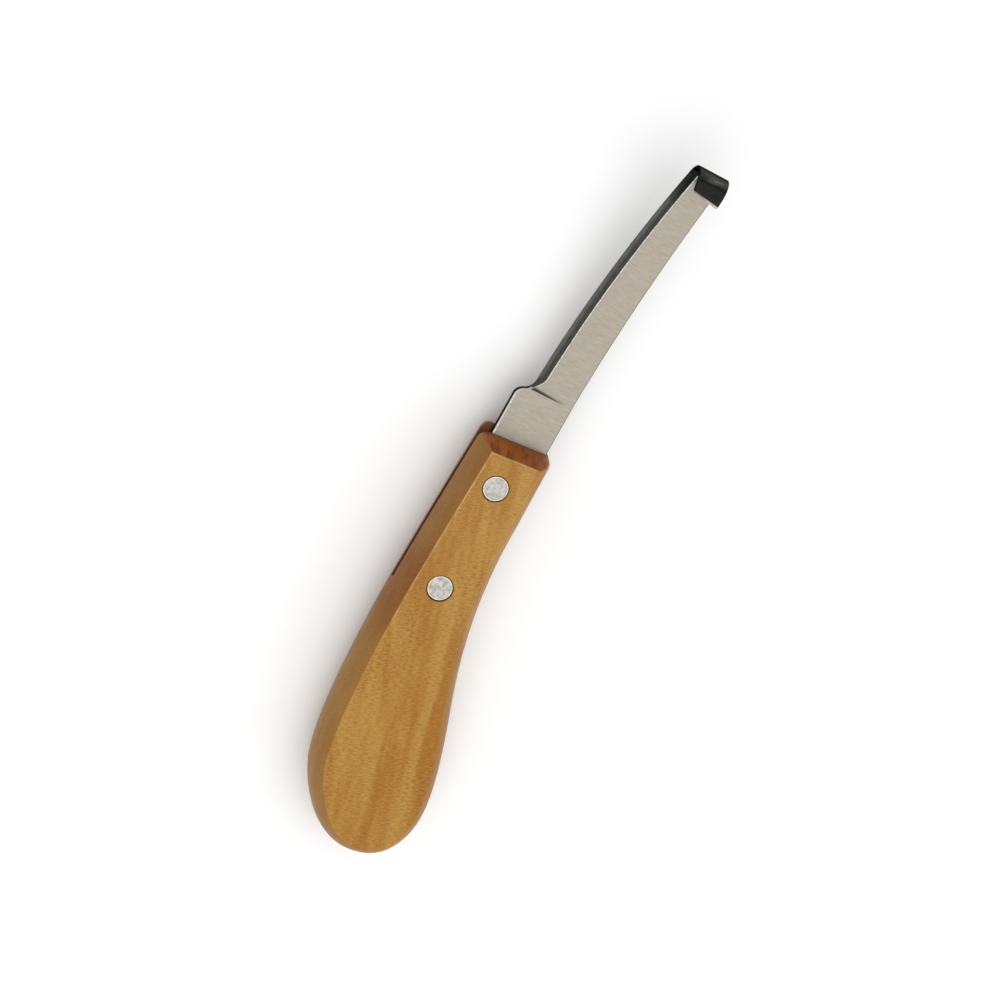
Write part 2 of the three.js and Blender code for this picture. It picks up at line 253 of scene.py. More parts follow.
class Tree:
    """Short forms for the nodes of a material or a Geometry Nodes tree."""

    def __init__(self, tree):
        self.nodes = tree.nodes
        self.links = tree.links

    def plug(self, socket, value):
        """Links a node's output, or sets a constant on the socket. None leaves it as it is."""
        if isinstance(value, bpy.types.NodeSocket):
            self.links.new(value, socket)
        elif value is not None:
            socket.default_value = value

    def node(self, kind, values=None, **attributes):
        made = self.nodes.new(kind)
        for key, value in attributes.items():
            setattr(made, key, value)
        for key, value in (values or {}).items():
            self.plug(made.inputs[key], value)
        return made

    def out(self, kind, values=None, **attributes):
        """The first output of a new node."""
        return self.node(kind, values, **attributes).outputs[0]

    def math(self, operation, *values):
        return self.out("ShaderNodeMath", dict(enumerate(values)), operation=operation)

    def plus(self, first, second):
        return self.math("ADD", first, second)

    def minus(self, first, second):
        return self.math("SUBTRACT", first, second)

    def times(self, first, second):
        return self.math("MULTIPLY", first, second)

    def times_plus(self, first, second, added):
        return self.math("MULTIPLY_ADD", first, second, added)

    def xyz(self, x=0.0, y=0.0, z=0.0):
        return self.out("ShaderNodeCombineXYZ", {0: x, 1: y, 2: z})

    def parts(self, vector):
        return self.node("ShaderNodeSeparateXYZ", {0: vector}).outputs

    def ramp(self, value, low, high, to_low=0.0, to_high=1.0):
        """An eased step from to_low at low to to_high at high."""
        values = {"Value": value, "From Min": low, "From Max": high, "To Min": to_low, "To Max": to_high}
        return self.out("ShaderNodeMapRange", values, interpolation_type="SMOOTHSTEP")


class Shape(Tree):
    """A Geometry Nodes tree. Its named inputs are given by kind, and are taken in that order."""

    def __init__(self, name, inputs):
        self.group = bpy.data.node_groups.new(name, "GeometryNodeTree")
        self.group.interface.new_socket("Geometry", in_out="OUTPUT", socket_type="NodeSocketGeometry")
        for kind, names in inputs.items():
            for given in names:
                self.group.interface.new_socket(given, in_out="INPUT", socket_type="NodeSocket" + kind)
        super().__init__(self.group)
        self.given = list(self.node("NodeGroupInput").outputs)

    def creased(self, mesh, crease):
        """Smooth shading, with sharp edges where the faces meet at more than the crease angle."""
        mesh = self.out("GeometryNodeSetShadeSmooth", {0: mesh, 2: True}, domain="FACE")
        meeting = {0: self.out("GeometryNodeInputMeshEdgeAngle"), 1: crease}
        sharp = self.out("FunctionNodeCompare", meeting, data_type="FLOAT", operation="GREATER_THAN")
        return self.out("GeometryNodeSetShadeSmooth", {0: mesh, 1: sharp, 2: False}, domain="EDGE")

    def end(self, mesh):
        self.plug(self.node("NodeGroupOutput").inputs[0], mesh)
        return self.group


def with_tree(name, mesh, tree, values):
    """The plain mesh that a tree makes from a mesh. Its inputs are set by their sockets' identifiers."""
    host = new_object(name + "_host", mesh)
    modifier = host.modifiers.new(tree.name, "NODES")
    modifier.node_group = tree
    for item in tree.interface.items_tree:
        if item.item_type == "SOCKET" and item.name in values:
            modifier[item.identifier] = values[item.name]
    return finished(name, host)


# ---------- Materials ----------

def rgba(values, share=1.0):
    """A colour for a socket, at a share of its strength."""
    return (*(value * share for value in values), 1.0)


class Surface(Tree):
    """A material with its shader, and with patterns laid on the piece's own position."""

    def __init__(self, name):
        self.material = bpy.data.materials.new(name)
        self.material.use_nodes = True
        self.material.node_tree.nodes.clear()
        super().__init__(self.material.node_tree)
        self.shader = self.node("ShaderNodeBsdfPrincipled")
        self.links.new(self.shader.outputs[0], self.node("ShaderNodeOutputMaterial").inputs[0])
        self.position = self.node("ShaderNodeTexCoord").outputs["Object"]

    def dress(self, **values):
        """Gives the shader its values, named as its sockets are, and returns the material."""
        sockets = {socket.name.lower().replace(" ", "_"): socket for socket in self.shader.inputs}
        for name, value in values.items():
            self.plug(sockets[name], value)
        return self.material

    def facing(self):
        """The direction that the surface faces, as x, y and z."""
        return self.parts(self.node("ShaderNodeNewGeometry").outputs["Normal"])

    def stretched(self, position, scale):
        return self.out("ShaderNodeMapping", {"Vector": position, "Scale": scale})

    def noise(self, vector, scale, detail=3.0, roughness=0.5, distortion=0.0):
        values = {"Vector": vector, "Scale": scale, "Detail": detail}
        values.update({"Roughness": roughness, "Distortion": distortion})
        return self.node("ShaderNodeTexNoise", values).outputs["Fac"]

    def mix(self, amount, first, second, blend="MIX"):
        values = {0: amount, 6: first, 7: second}
        return self.node("ShaderNodeMix", data_type="RGBA", blend_type=blend, values=values).outputs[2]

    def bump(self, height, strength, distance, normal=None):
        values = {"Height": height, "Strength": strength, "Distance": distance, "Normal": normal}
        return self.out("ShaderNodeBump", values)


# Stretches over which the handle's wood changes, along X where nothing else is said
PALER = (-75 * MM, 25 * MM)  # worn paler towards the blade
BROWNER = (-45 * MM, -25 * MM)  # the sides turn brown up to the rear rivet
LESS_BROWN = (-3 * MM, -18 * MM)  # and are half as brown from there to the blade
EDGE_WEAR_AND_HIGHLIGHT = (-55 * MM, 0.0)  # pale edges, rubbed and with a painted highlight, more towards the blade
EDGE_WEAR_AND_HIGHLIGHT_ACROSS = (-12 * MM, 2 * MM)  # along Y: and more towards the cutting edge
END_SHADE = (5.5 * MM, 1 * MM)  # along Z from the middle: painted shade darkens the end grain towards the slot


def beech_material():
    """Lacquered beech: soft bands along the grain, short flecks across it, browner sides with painted shade,
    orange end grain with painted shade towards the slot, pale edges that are rubbed and carry a painted
    highlight, and painted shade in the saw slot."""
    look = settings("knife_handle")
    t = Surface("lacquered_beech")
    grain = t.out("ShaderNodeMapping", {"Vector": t.position, "Rotation": (0.0, 0.0, -look.grain_turn)})
    x, y, z = t.parts(t.position)
    forward, sideways, up = t.facing()
    upright = t.math("ABSOLUTE", up)
    flat = t.ramp(upright, 0.66, 0.95)

    # Bands along the grain, paler towards the blade
    bands = t.noise(t.stretched(grain, (0.15, 1.0, 1.0)), 150.0, 2.0, 0.5, 0.4)
    streaks = t.noise(t.stretched(grain, (0.08, 1.0, 1.0)), 620.0, 3.0, 0.6, 0.2)
    soft = t.plus(t.times(bands, 0.8), t.times(streaks, 0.2))
    tone = t.mix(t.ramp(soft, 0.38, 0.62), rgba(look.light_wood), rgba(look.dark_wood))
    tone = t.mix(t.times(t.ramp(x, *PALER), 0.1), tone, rgba(look.worn_and_highlight_wood))

    # Browner sides, partly the beech's own tone and partly painted shade, less so on the spine's side, which
    # faces the light
    side = t.times(t.ramp(flat, 1.0, 0.0, 0.0, 0.75), t.ramp(sideways, -0.8, -0.2, 0.3))
    browner = t.times(t.ramp(x, *BROWNER), t.ramp(x, *LESS_BROWN, 0.5))
    tone = t.mix(side, tone, t.mix(browner, rgba(look.side_wood), rgba(look.brown_side)))

    # Dark flecks and pale ones, in patches and strongest on the flat faces
    flecks = t.noise(t.stretched(grain, (1.0, 0.25, 0.25)), 2600.0, 1.5, 0.6, 0.2)
    mottle = t.noise(grain, 2900.0, 1.0)
    patches = t.noise(grain, 70.0, 2.0)
    speck = t.times_plus(mottle, 0.25, t.times(flecks, 0.75))
    depth = t.times(t.ramp(patches, 0.25, 0.75, 0.35, 0.7), t.ramp(flat, 0.0, 1.0, 0.4))
    tone = t.mix(t.times(t.ramp(speck, 0.46, 0.64), depth), tone, rgba(look.fleck_wood))
    tone = t.mix(t.times(t.ramp(speck, 0.50, 0.36), t.times(depth, 0.5)), tone, rgba(look.light_wood, 1.3))

    # End grain at the blade end and, fainter, round the butt, darkened further by painted shade towards the
    # slot
    from_middle = t.math("ABSOLUTE", t.minus(z, HALF))
    across = t.plus(t.ramp(forward, 0.5, 0.8, 0.0, 0.9), t.ramp(forward, -0.5, -0.9, 0.0, 0.3))
    pores = t.noise(t.stretched(t.position, (0.3, 1.0, 0.3)), 460.0, 3.0, 0.6, 0.4)
    end_grain_shade = t.ramp(from_middle, *END_SHADE, 0.0, 0.7)
    pores_and_shade = t.math("MAXIMUM", t.ramp(pores, 0.40, 0.66, 0.0, 0.85), end_grain_shade)
    tone = t.mix(across, tone, t.mix(pores_and_shade, rgba(look.end_wood), rgba(look.end_wood, 0.3)))

    # Pale edges round the flat faces: rubbed wear and a painted highlight
    edge = t.times(t.ramp(upright, 0.74, 0.84), t.ramp(upright, 0.998, 0.96))
    place = t.times(t.ramp(x, *EDGE_WEAR_AND_HIGHLIGHT, 0.1), t.ramp(y, *EDGE_WEAR_AND_HIGHLIGHT_ACROSS, 0.3))
    rubbed = t.times(t.ramp(t.noise(grain, 260.0, 2.0), 0.35, 0.6, 0.2, 0.7), place)
    tone = t.mix(t.times(edge, rubbed), tone, rgba(look.worn_and_highlight_wood))

    # Painted shade in the saw slot and what is open to it
    half_slot = look.slot_thickness / 2
    slot_shade = t.times(
        t.ramp(from_middle, half_slot * 1.12, half_slot),
        t.ramp(x, look.slot_end - 0.1 * MM, look.slot_end - 0.02 * MM),
    )
    return t.dress(
        base_color=t.mix(slot_shade, tone, rgba(look.slot_shade_wood)),
        roughness=t.ramp(streaks, 0.3, 0.7, 0.42, 0.55),
        specular_ior_level=0.2,
        coat_weight=0.1,
        coat_roughness=0.25,
        normal=t.bump(flecks, 0.08, 0.0003, t.bump(streaks, 0.08, 0.0003)),
    )


def ground_steel_material():
    """Steel off the belt: fine scratches across the blade over soft tone changes. Painted shade darkens it
    down the step from the tang and at the root of the hook, under the roll."""
    look = settings("knife_blade")
    t = Surface("ground_steel")
    scratches = t.noise(t.stretched(t.position, (1.0, 0.06, 0.3)), 6500.0, 2.0, 0.6)
    lines = t.noise(t.stretched(t.position, (1.0, 0.16, 0.3)), 2200.0, 2.0)
    clouds = t.noise(t.stretched(t.position, (1.0, 0.8, 0.5)), 110.0, 2.0)
    brushing = t.plus(t.times(scratches, 0.4), t.times(lines, 0.35))
    brushing = t.times_plus(clouds, 0.25, brushing)
    brushed = t.mix(t.ramp(brushing, 0.36, 0.64), rgba(look.ground_steel, 0.8), rgba(look.ground_steel))
    # Painted shade: darker down the step from the tang, which faces away from the light, and on the ground
    # face under the roll
    step = t.ramp(t.facing()[0], 0.025, 0.36, 0.0, 0.85)
    root = t.ramp(t.parts(t.position)[0], *HOOK_ROOT, 0.0, 0.6)
    return t.dress(
        base_color=t.mix(t.math("MAXIMUM", step, root), brushed, rgba(look.hook_steel)),
        metallic=1.0,
        roughness=t.ramp(clouds, 0.3, 0.7, 0.38, 0.48),
        normal=t.bump(scratches, 0.2, 0.0001),
    )


def polished_steel_material():
    """Polished steel with faint lines along the blade, its colour darkened as a painted dark reflection. The
    hook and the narrow sides are painted darker than the bevel, and the outside of the roll lies between
    them."""
    look = settings("knife_blade")
    t = Surface("polished_steel")
    lines = t.noise(t.stretched(t.position, (0.06, 1.0, 1.0)), 3600.0, 3.0, 0.6)
    stains = t.noise(t.position, 420.0)
    hook_dark_reflection = t.ramp(t.parts(t.position)[0], *HOOK_DARKENS)
    # Painted dark reflections: darker towards the hook and on the narrow sides; near the hook, where the roll
    # faces forward and on the sides, painted less dark
    forward, sideways, _ = t.facing()
    narrow = t.ramp(t.math("ABSOLUTE", sideways), 0.78, 0.92, 0.0, 0.65)
    rolled = t.times(t.math("MAXIMUM", t.ramp(forward, 0.3, 0.75), narrow), hook_dark_reflection)
    sides_and_hook_dark = t.math("MAXIMUM", hook_dark_reflection, narrow)
    tone = t.mix(sides_and_hook_dark, rgba(look.polished_steel), rgba(look.hook_steel))
    tone = t.mix(rolled, tone, rgba(look.rolled_steel))
    worn = t.mix(t.ramp(lines, 0.35, 0.7, 0.7), (0.0, 0.0, 0.0, 1.0), tone)
    stain = t.ramp(stains, 0.35, 0.7, 0.9, 1.15)
    return t.dress(
        base_color=t.mix(1.0, worn, t.xyz(stain, stain, stain), "MULTIPLY"),
        metallic=1.0,
        specular_tint=(0.35, 0.35, 0.35, 1.0),
        roughness=t.ramp(stains, 0.3, 0.7, 0.16, 0.19),
        normal=t.bump(lines, 0.05, 0.00005),
    )


def bright_steel_material():
    """The broken edges of the blade, painted bright as a highlight."""
    look = settings("knife_blade")
    t = Surface("bright_steel")
    nicks = t.noise(t.position, 1800.0)
    return t.dress(
        base_color=t.mix(t.ramp(nicks, 0.4, 0.7), rgba(look.bright_steel), rgba(look.bright_steel, 0.6)),
        metallic=1.0,
        roughness=t.ramp(nicks, 0.3, 0.7, 0.25, 0.5),
        normal=t.bump(nicks, 0.1, 0.0001),
    )


def rivet_material():
    """Satin aluminium with the mottled tone of a pressed head and a lighter rim."""
    look = settings("knife_rivets")
    t = Surface("rivet_aluminium")
    mottle = t.noise(t.position, 900.0, 3.0, 0.6, 0.6)
    fine = t.noise(t.position, 5200.0)
    x, y, _ = t.parts(t.position)
    off = t.xyz(t.minus(t.math("ABSOLUTE", x), FRONT_X), y)
    out = t.node("ShaderNodeVectorMath", {0: off}, operation="LENGTH").outputs["Value"]
    rim = t.ramp(out, HEAD_RADIUS - look.rim_width * 1.3, HEAD_RADIUS - look.rim_width * 0.8)
    worn = t.mix(t.ramp(mottle, 0.35, 0.7), rgba(look.metal), rgba(look.metal, 0.62))
    bright = t.mix(t.ramp(mottle, 0.4, 0.65, 0.0, 0.45), rgba(look.rim_metal), rgba(look.metal))
    return t.dress(
        base_color=t.mix(rim, worn, bright),
        metallic=1.0,
        roughness=t.ramp(mottle, 0.3, 0.7, 0.3, 0.45),
        normal=t.bump(fine, 0.12, 0.0001, t.bump(mottle, 0.35, 0.0004)),
    )


def floor_material():
    t = Surface("pale_floor")
    tone = settings("knife_stage").floor
    paper = t.noise(t.position, 60.0, 2.0)
    return t.dress(
        base_color=t.mix(paper, rgba(tone), rgba(tone, 0.985)),
        roughness=0.9,
        specular_ior_level=0.2,
    )


# ---------- Handle ----------

HANDLE_CENTRE_Y = -1.4 * MM
CORNER_ROOM = 5 * MM  # the side lines stop this far short of the blade end
CHEEK_ENDS = {
    -1: {"x": 30.6 * MM, "skew": math.radians(-3)},  # the lower cheek reaches a little further
    1: {"x": 29.3 * MM, "skew": math.radians(4)},
}
DRILL_DRIFT = {  # a hand-held drill leaves each hole a little off its rivet's line
    "rear": (-0.06 * MM, 0.04 * MM),
    "front": (0.03 * MM, 0.08 * MM),
}
OUTLINE_STATIONS = 420
CURVE_SAMPLES = 200  # of each side curve, from which the even stations are picked
CORNER_STEPS = 12
CHEEK_STEPS = 16
EDGE_STEPS = 5
DRILL_SEGMENTS = 96


def cubic(points, t):
    a, b, c, d = points
    s = 1 - t
    return a * s**3 + b * (3 * s * s * t) + c * (3 * s * t * t) + d * t**3


def cubic_slope(points, t):
    a, b, c, d = points
    s = 1 - t
    return (b - a) * (3 * s * s) + (c - b) * (6 * s * t) + (d - c) * (3 * t * t)


def side_curves():
    """The widest outline without its two corners, anticlockwise from the cutting-edge side of the blade
    end: a nearly straight side, a swept butt, and a hollow side back to the blade end. Each line has a
    point and the two handles of the curve that leaves it, in millimetres."""
    end = (CHEEK_ENDS[1]["x"] - CORNER_ROOM) / MM
    points = [
        (end, 10.0), (11, 10.6), (-17, 11.7),
        (-30, 11.7), (-47.7, 11.7), (-73.4, 10.7),
        (-82.8, 6.6), (-93.1, 2.1), (-101.7, -6.1),
        (-101.7, -15.1), (-101.7, -28.7), (-89.5, -31.3),
        (-83.5, -31.3), (-72.1, -31.3), (-55.4, -24.7),
        (-43.7, -20.9), (-27.5, -15.6), (-11.9, -13.1),
        (5, -13.1), (11, -13.1), (18, -12.95),
        (end, -12.9),
    ]
    points = [Vector(point) * MM for point in points]
    return [points[i:i + 4] for i in range(0, len(points) - 1, 3)]


def side_stations():
    """Evenly spaced points of the side curves, each with its inward normal."""
    dense = [(curve, i / CURVE_SAMPLES) for curve in side_curves() for i in range(CURVE_SAMPLES)]
    dense.append((side_curves()[-1], 1.0))
    places = [cubic(curve, t) for curve, t in dense]
    run = [0.0]
    for first, second in zip(places, places[1:]):
        run.append(run[-1] + (second - first).length)
    stations = []
    k = 0
    for i in range(OUTLINE_STATIONS + 1):
        target = run[-1] * i / OUTLINE_STATIONS
        while k < len(run) - 2 and run[k + 1] < target:
            k += 1
        share = (target - run[k]) / (run[k + 1] - run[k])
        slope = cubic_slope(*dense[k]).lerp(cubic_slope(*dense[k + 1]), share).normalized()
        stations.append((places[k].lerp(places[k + 1], share), Vector((-slope.y, slope.x))))
    return stations


def corner(first, second, radius):
    """A rounded corner between two lines, each a point with its inward normal."""
    a, b = first[1], second[1]
    p = a.dot(first[0]) + radius
    q = b.dot(second[0]) + radius
    scale = 1 / (a.x * b.y - a.y * b.x)
    centre = Vector(((p * b.y - q * a.y) * scale, (q * a.x - p * b.x) * scale))
    start = math.atan2(-a.y, -a.x)
    turn = math.acos(a.dot(b))
    steps = [start + turn * i / CORNER_STEPS for i in range(CORNER_STEPS + 1)]
    return [centre + Vector((math.cos(step), math.sin(step))) * radius for step in steps]


def handle_outline(stations, side, inset):
    """The outline at one height. side is -1 on the lower cheek and 1 on the upper one."""
    look = settings("knife_handle")
    moved = [(point + normal * inset, normal) for point, normal in stations]
    skew = CHEEK_ENDS[side]["skew"]
    inward = Vector((-math.cos(skew), -math.sin(skew)))
    middle = Vector((CHEEK_ENDS[side]["x"], HANDLE_CENTRE_Y))
    end = (middle + inward * (inset * look.end_inset / look.side_inset), inward)
    radius = max(look.corner_radius - inset, look.face_corner)
    return [point for point, _ in moved] + corner(moved[-1], end, radius) + corner(end, moved[0], radius)


def cheek_profile():
    """Inset and height above the middle of one cheek, from inside the slot to the flat face: an arc,
    then a softened edge."""
    look = settings("knife_handle")
    soft = look.face_edge * 0.6
    radius = (HALF**2 + look.side_inset**2) / (2 * look.side_inset)
    start = math.asin(look.slot_thickness * 0.45 / radius)
    stop = math.asin((HALF - soft) / radius)
    angles = [start + (stop - start) * i / CHEEK_STEPS for i in range(CHEEK_STEPS + 1)]
    profile = [Vector((radius * (1 - math.cos(a)), radius * math.sin(a))) for a in angles]
    first = profile[-1]
    edge = Vector((look.side_inset, HALF))
    last = Vector((look.side_inset + soft, HALF))
    for i in range(1, EDGE_STEPS + 1):
        t = i / EDGE_STEPS
        profile.append(first * (1 - t) ** 2 + edge * (2 * t * (1 - t)) + last * t**2)
    return profile


def handle_blank():
    stations = side_stations()
    profile = cheek_profile()
    rings = []
    for side, order in ((-1, reversed(profile)), (1, profile)):
        for inset, height in order:
            outline = handle_outline(stations, side, inset)
            rings.append([Vector((point.x, point.y, HALF + side * height)) for point in outline])
    return loft(rings)


def slot_cutter():
    look = settings("knife_handle")
    reach = 80 * MM
    start, stop, side = look.slot_end, look.slot_end + reach, reach / 2
    ring = [(start, -side), (stop, -side), (stop, side), (start, side)]
    levels = (HALF - look.slot_thickness / 2, HALF + look.slot_thickness / 2)
    return loft([[Vector((x, y, z)) for x, y in ring] for z in levels])


def turned_cutter(x, y, profile):
    """A round cutter along Z; profile is a row of radius and height."""
    turns = [2 * math.pi * i / DRILL_SEGMENTS for i in range(DRILL_SEGMENTS)]
    around = [(math.cos(turn), math.sin(turn)) for turn in turns]
    return loft([[Vector((x + r * cos, y + r * sin, z)) for cos, sin in around] for r, z in profile])


def rivet_hole(place, rivet_x):
    """The drilled hole, with a counterbore and a broken edge at each flat face."""
    look = settings("knife_handle")
    off_x, off_y = DRILL_DRIFT[place]
    clear = 2 * MM
    seat = [
        (look.seat_radius + look.seat_edge + clear, -clear),
        (look.seat_radius, look.seat_edge),
        (look.seat_radius, look.seat_depth),
        (look.hole_radius, look.seat_depth),
    ]
    far_seat = [(radius, HANDLE_THICKNESS - z) for radius, z in reversed(seat)]
    return turned_cutter(rivet_x + off_x, off_y, seat + far_seat)


def cut(name, blank, cutters):
    """The blank with every cutter taken away, as an object."""
    body = from_bmesh(name + "_blank", blank)
    tools = [from_bmesh(f"{name}_cutter_{i}", cutter) for i, cutter in enumerate(cutters)]
    for tool in tools:
        modifier = body.modifiers.new("cut", "BOOLEAN")
        modifier.object = tool
        modifier.operation = "DIFFERENCE"
        modifier.solver = "EXACT"
    made = finished(name, body)
    for tool in tools:
        bpy.data.objects.remove(tool)
    return made


class KNIFE_OT_add_handle(bpy.types.Operator):
    """Add the slotted wooden handle with its two counterbored rivet holes"""

    bl_idname = "knife.add_handle"
    bl_label = "Add Handle"

    def execute(self, context):
        cutters = [slot_cutter(), rivet_hole("rear", REAR_X), rivet_hole("front", FRONT_X)]
        piece = cut("wooden_handle", handle_blank(), cutters)
        shade(piece.data)
        piece.data.materials.append(beech_material())
        declare(piece, WOOD_SLOT, "handle")
        return {"FINISHED"}


# ---------- Blade ----------

TANG_SPINE_Y = -10.6 * MM
TANG_END_RADIUS = 4 * MM
TANG_TAPER = 1.6 * MM
MOUTH_X = CHEEK_ENDS[1]["x"]
SHOULDER_X = 41.6 * MM
SHOULDER_ANGLE = math.radians(70)
SHOULDER_OUTER_RADIUS = 2.9 * MM
SHOULDER_INNER_RADIUS = 3.78 * MM
SHOULDER_DROP = 4.4 * MM
PLUNGE_X = 44.9 * MM
PLUNGE_LENGTH = 1.7 * MM
BEVEL_RUN = 5.1 * MM  # the bevel starts at the plunge line and reaches its full width over this length
EDGE_LEAN = 2.5 * MM
EDGE_CURVE = 3.9 * MM
SPINE_LEAN = 1.65 * MM
SPINE_CURVE = 1.7 * MM
BOW_START = 35 * MM
BOW_LENGTH = 85.2 * MM
HOOK_START = BOW_START + BOW_LENGTH
HOOK_DARKENS = (HOOK_START - 14 * MM, HOOK_START - 2 * MM)  # the painted dark reflection on the polish grows along this stretch
HOOK_ROOT = (HOOK_START - 3.5 * MM, HOOK_START - 0.5 * MM)  # and painted shade on the ground face along this one, under the roll
HOOK_DRIFT = 0.1  # how fast the edge draws in round the hook
LIP_SKEW = 1.6 * MM  # how far the lip's end leans back at the cutting edge
LIP_BEVEL = 1 * MM
LIP_EDGE = 0.6 * MM
HOOK_POLISH = 0.9 * MM  # the polish of the hook starts this far round it
TANG_ROUND = 0.6 * MM  # upper corner of the tang
CORNER_ROUND = 0.2 * MM
EDGE_ROUND = 0.06 * MM
RIDGE = 0.24 * MM  # width of the broken ridge between the bevel and the ground face
RIDGE_DROP = 0.45  # how far its bevel side lies below the face, as a share of that width
BEVEL_FADE = 0.6  # the bevel is gone after this share of the hook
BEVEL_BEGUN = 0.02  # share of the bevel's full width from which its own finish shows
BEVEL_GROWN = 0.1  # and from which its corner is no longer a broken edge
HOLLOW = 0.12 * MM  # how much the bevel is ground hollow
ARC_STEPS = 4
FACE_STEPS = 8
BEVEL_STEPS = 8

SHOULDER_SINE = math.sin(SHOULDER_ANGLE)
SHOULDER_RISE = 1 - math.cos(SHOULDER_ANGLE)
SHOULDER_ARCS = SHOULDER_OUTER_RADIUS + SHOULDER_INNER_RADIUS
SHOULDER_SLOPE = (SHOULDER_DROP - SHOULDER_ARCS * SHOULDER_RISE) / math.tan(SHOULDER_ANGLE)
SHOULDER_END = SHOULDER_X + SHOULDER_ARCS * SHOULDER_SINE + SHOULDER_SLOPE


def clamp(value, low=0.0, high=1.0):
    return max(low, min(high, value))


def smooth(value):
    value = clamp(value)
    return value * value * (3 - 2 * value)


def lerp(first, second, share):
    return first + (second - first) * share


def hook_length():
    look = settings("knife_blade")
    return look.hook_angle * (look.hook_inner_radius + look.tip_thickness / 2)


def blade_end():
    return HOOK_START + hook_length() + settings("knife_blade").lip_length


def tang_inset(u):
    """The tang draws in towards its inner end, which is rounded."""
    inside = clamp((MOUTH_X - u) / (MOUTH_X - TANG_END_X))
    past = max(TANG_END_RADIUS - (u - TANG_END_X), 0.0)
    return TANG_TAPER * inside + TANG_END_RADIUS - math.sqrt(max(TANG_END_RADIUS**2 - past**2, 0.0))


def shoulder_drop(u):
    """How far the shoulder has drawn the blade in: an outer arc, a straight slope, and an inner arc."""
    past = u - SHOULDER_X
    short = SHOULDER_END - u
    if past <= 0:
        return 0.0
    if short <= 0:
        return SHOULDER_DROP
    if past < SHOULDER_OUTER_RADIUS * SHOULDER_SINE:
        return SHOULDER_OUTER_RADIUS - math.sqrt(SHOULDER_OUTER_RADIUS**2 - past**2)
    if short < SHOULDER_INNER_RADIUS * SHOULDER_SINE:
        return SHOULDER_DROP - SHOULDER_INNER_RADIUS + math.sqrt(SHOULDER_INNER_RADIUS**2 - short**2)
    slope = past - SHOULDER_OUTER_RADIUS * SHOULDER_SINE
    return SHOULDER_OUTER_RADIUS * SHOULDER_RISE + slope * math.tan(SHOULDER_ANGLE)


def along_blade(u):
    return clamp((u - SHOULDER_END) / (HOOK_START - SHOULDER_END))


def spine_y(u):
    along = along_blade(u)
    return TANG_SPINE_Y + tang_inset(u) - SPINE_LEAN * along - SPINE_CURVE * along**2


def edge_y(u):
    along = along_blade(u)
    hook = HOOK_DRIFT * max(u - HOOK_START, 0.0)
    return TANG_EDGE_Y - tang_inset(u) - shoulder_drop(u) - EDGE_LEAN * along - EDGE_CURVE * along**2 - hook


def arc(centre, radius, start, stop):
    """Points of a round corner; the angles are quarter turns."""
    steps = [(start + (stop - start) * i / ARC_STEPS) * math.pi / 2 for i in range(ARC_STEPS + 1)]
    return [Vector((centre[0] + radius * math.cos(a), centre[1] + radius * math.sin(a))) for a in steps]


def bevel_share(u):
    """The bevel's width as a share of its full width. Its upper edge leaves the outline at the plunge
    line and curves in, and the bevel fades out round the hook."""
    width = settings("knife_blade").bevel_width
    full = PLUNGE_X + BEVEL_RUN
    if u <= PLUNGE_X:
        return 0.0
    if u >= full:
        return 1 - smooth((u - HOOK_START) / (hook_length() * BEVEL_FADE))
    ridge = edge_y(full) - width
    left = (full - u) / BEVEL_RUN
    return max(edge_y(u) - lerp(ridge, edge_y(PLUNGE_X), left**2), 0.0) / width


def blade_section(u):
    """The section at u as points of y and height, anticlockwise seen from the tip."""
    look = settings("knife_blade")
    thinning = along_blade(u)
    half = lerp(look.stock, look.tip_thickness, thinning) / 2
    past = clamp((u - PLUNGE_X) / PLUNGE_LENGTH)
    top = half - look.grind_depth * (1 - (1 - past) ** 3) * (1 - thinning)
    sharp = bevel_share(u)
    lip = clamp((u - blade_end() + LIP_BEVEL) / LIP_BEVEL)
    bottom = lerp(-half, half - LIP_EDGE, lip)
    spine, edge = spine_y(u), edge_y(u)
    width = look.bevel_width * sharp
    edge_top = top - (top + half - look.edge_thickness) * sharp
    near = lerp(lerp(TANG_ROUND, CORNER_ROUND, past), EDGE_ROUND, sharp)
    far = lerp(CORNER_ROUND, EDGE_ROUND, max(sharp, lip))
    rounding = lerp(CORNER_ROUND, EDGE_ROUND, lip)
    points = arc((spine + rounding, bottom + rounding), rounding, 2, 3)
    points += arc((edge - far, bottom + far), far, -1, 0)
    points += arc((edge - near, edge_top - near), near, 0, 1)
    first = Vector((edge - near, edge_top))
    ridge = Vector((edge - near - width, top - RIDGE * RIDGE_DROP * sharp))
    for i in range(1, BEVEL_STEPS + 1):
        share = i / BEVEL_STEPS
        point = first.lerp(ridge, share)
        point.y -= HOLLOW * sharp * 4 * share * (1 - share)
        points.append(point)
    face = Vector((edge - near - width - RIDGE, top))
    last = Vector((spine + rounding, half))
    for i in range(FACE_STEPS):
        points.append(face.lerp(last, i / FACE_STEPS))
    points += arc((spine + rounding, half - rounding), rounding, 1, 2)
    return points


# BRIGHT faces carry a painted highlight colour
GROUND, POLISHED, BRIGHT = range(3)


